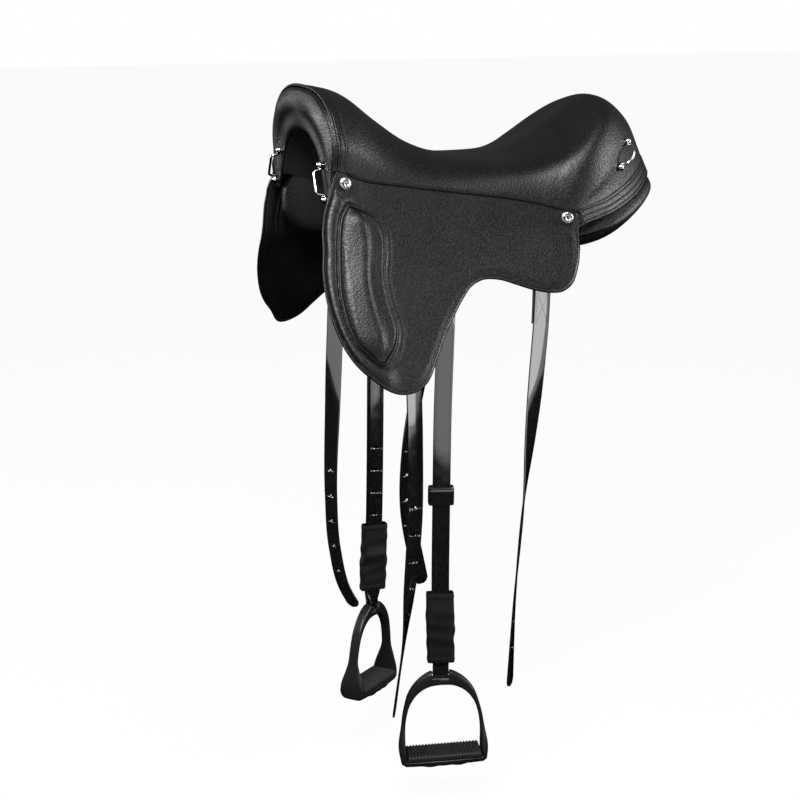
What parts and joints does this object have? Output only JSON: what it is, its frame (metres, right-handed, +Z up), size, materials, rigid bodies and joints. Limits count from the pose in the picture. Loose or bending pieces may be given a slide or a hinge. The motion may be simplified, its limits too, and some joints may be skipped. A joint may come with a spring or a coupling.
{
  "type": "endurance saddle",
  "caption": "Black leather endurance saddle with a deep seat, padded knee blocks, twin panels, stirrup leathers with ribbed-tread irons and long girth billets",
  "frame": {"origin": "on the mirror plane, at the height where the two panels rest on a horse's back or a rack", "axes": "+X to the saddle's left side, -Y to its pommel, +Z up"},
  "size_m": [0.4828, 0.5708, 1],
  "materials": {
    "leather": "grained satin black",
    "patent": "glossy black",
    "foam": "open foam",
    "moulding": "moulded",
    "steel": "satin",
    "chrome": "polished",
    "black_metal": "satin black",
    "rubber": "matt, ribbed"
  },
  "bodies": {
    "saddle": {"tree": "moulding", "gullet_plate": "steel", "seat_foam": "foam", "seat_cover": "leather", "pommel_face": "leather", "pommel_welt": "leather", "pommel_binding": "leather", "gullet_lining": "leather", "cantle_binding": "leather", "panel_left": "leather", "flap_top_left": "leather", "stirrup_bar_left": "steel", "stud_washer_front_left": "chrome", "stud_screw_front_left": "chrome", "front_loop_left": "chrome", "front_loop_left_screw_top": "chrome", "front_loop_left_screw_low": "chrome", "stud_washer_rear_left": "chrome", "stud_screw_rear_left": "chrome", "rear_loop_left": "chrome", "rear_loop_left_screw_top": "chrome", "rear_loop_left_screw_low": "chrome", "panel_right": "leather", "flap_top_right": "leather", "stirrup_bar_right": "steel", "stud_washer_front_right": "chrome", "stud_screw_front_right": "chrome", "front_loop_right": "chrome", "front_loop_right_screw_top": "chrome", "front_loop_right_screw_low": "chrome", "stud_washer_rear_right": "chrome", "stud_screw_rear_right": "chrome", "rear_loop_right": "chrome", "rear_loop_right_screw_top": "chrome", "rear_loop_right_screw_low": "chrome"},
    "left_flap": {"flap_left": "leather", "knee_block_left": "leather"},
    "left_leather": {"stirrup_leather_left": "patent", "hole_strap_left": "patent", "stirrup_buckle_left": "chrome"},
    "left_keeper": {"leather_keeper_left": "patent"},
    "left_sleeve": {"leather_sleeve_left": "leather"},
    "left_iron": {"stirrup_iron_left": "black_metal", "stirrup_tread_left": "rubber"},
    "left_catch": {"bar_catch_left": "steel"},
    "left_front_billet": {"girth_billet_front_left": "patent"},
    "left_rear_billet": {"girth_billet_rear_left": "patent"},
    "right_flap": {"flap_right": "leather", "knee_block_right": "leather"},
    "right_leather": {"stirrup_leather_right": "patent", "hole_strap_right": "patent", "stirrup_buckle_right": "chrome"},
    "right_keeper": {"leather_keeper_right": "patent"},
    "right_sleeve": {"leather_sleeve_right": "leather"},
    "right_iron": {"stirrup_iron_right": "black_metal", "stirrup_tread_right": "rubber"},
    "right_catch": {"bar_catch_right": "steel"},
    "right_front_billet": {"girth_billet_front_right": "patent"},
    "right_rear_billet": {"girth_billet_rear_right": "patent"}
  },
  "joints": [
    {"name": "left_flap_lift", "type": "hinge", "parent": "saddle", "child": "left_flap", "pos_m": [0.1349, -0.191, 0.055], "axis": [-0.0416, -0.9883, 0.1465], "range_deg": [0, 75]},
    {"name": "left_leather_swing", "type": "hinge", "parent": "saddle", "child": "left_leather", "pos_m": [0.1225, -0.0149, -0.002], "axis": [0, -1, 0], "range_deg": [-3, 16]},
    {"name": "left_keeper_slide", "type": "slide", "parent": "left_leather", "child": "left_keeper", "axis": [0, 0, 1], "range_m": [-0.04, 0.04]},
    {"name": "left_sleeve_slide", "type": "slide", "parent": "left_leather", "child": "left_sleeve", "axis": [0, 0, 1], "range_m": [0, 0.06]},
    {"name": "left_iron_pivot", "type": "hinge", "parent": "left_leather", "child": "left_iron", "pos_m": [0.12236, -0.0115, -0.655], "axis": [0.2756, 0.9613, 0], "range_deg": [-30, 30]},
    {"name": "left_catch_turn", "type": "hinge", "parent": "saddle", "child": "left_catch", "pos_m": [0.1225, 0.012, -0.002], "axis": [1, 0, 0], "range_deg": [0, 45]},
    {"name": "left_front_billet_swing", "type": "hinge", "parent": "saddle", "child": "left_front_billet", "pos_m": [0.1125, -0.062, 0.026], "axis": [0, -1, 0], "range_deg": [-4, 4]},
    {"name": "left_rear_billet_swing", "type": "hinge", "parent": "saddle", "child": "left_rear_billet", "pos_m": [0.1298, 0.134, -0.006], "axis": [0, -1, 0], "range_deg": [-4, 4]},
    {"name": "right_flap_lift", "type": "hinge", "parent": "saddle", "child": "right_flap", "pos_m": [-0.1349, -0.191, 0.055], "axis": [-0.0416, 0.9883, -0.1465], "range_deg": [0, 75]},
    {"name": "right_leather_swing", "type": "hinge", "parent": "saddle", "child": "right_leather", "pos_m": [-0.1225, -0.0149, -0.002], "axis": [0, 1, 0], "range_deg": [-3, 16]},
    {"name": "right_keeper_slide", "type": "slide", "parent": "right_leather", "child": "right_keeper", "axis": [0, 0, 1], "range_m": [-0.04, 0.04]},
    {"name": "right_sleeve_slide", "type": "slide", "parent": "right_leather", "child": "right_sleeve", "axis": [0, 0, 1], "range_m": [0, 0.06]},
    {"name": "right_iron_pivot", "type": "hinge", "parent": "right_leather", "child": "right_iron", "pos_m": [-0.1225, -0.0259, -0.632], "axis": [-0.6691, 0.7431, 0], "range_deg": [-30, 30]},
    {"name": "right_catch_turn", "type": "hinge", "parent": "saddle", "child": "right_catch", "pos_m": [-0.1225, 0.012, -0.002], "axis": [1, 0, 0], "range_deg": [0, 45]},
    {"name": "right_front_billet_swing", "type": "hinge", "parent": "saddle", "child": "right_front_billet", "pos_m": [-0.1125, -0.085, 0.026], "axis": [0, 1, 0], "range_deg": [-4, 4]},
    {"name": "right_rear_billet_swing", "type": "hinge", "parent": "saddle", "child": "right_rear_billet", "pos_m": [-0.1276, 0.122, -0.006], "axis": [0, 1, 0], "range_deg": [-4, 4]}
  ]
}
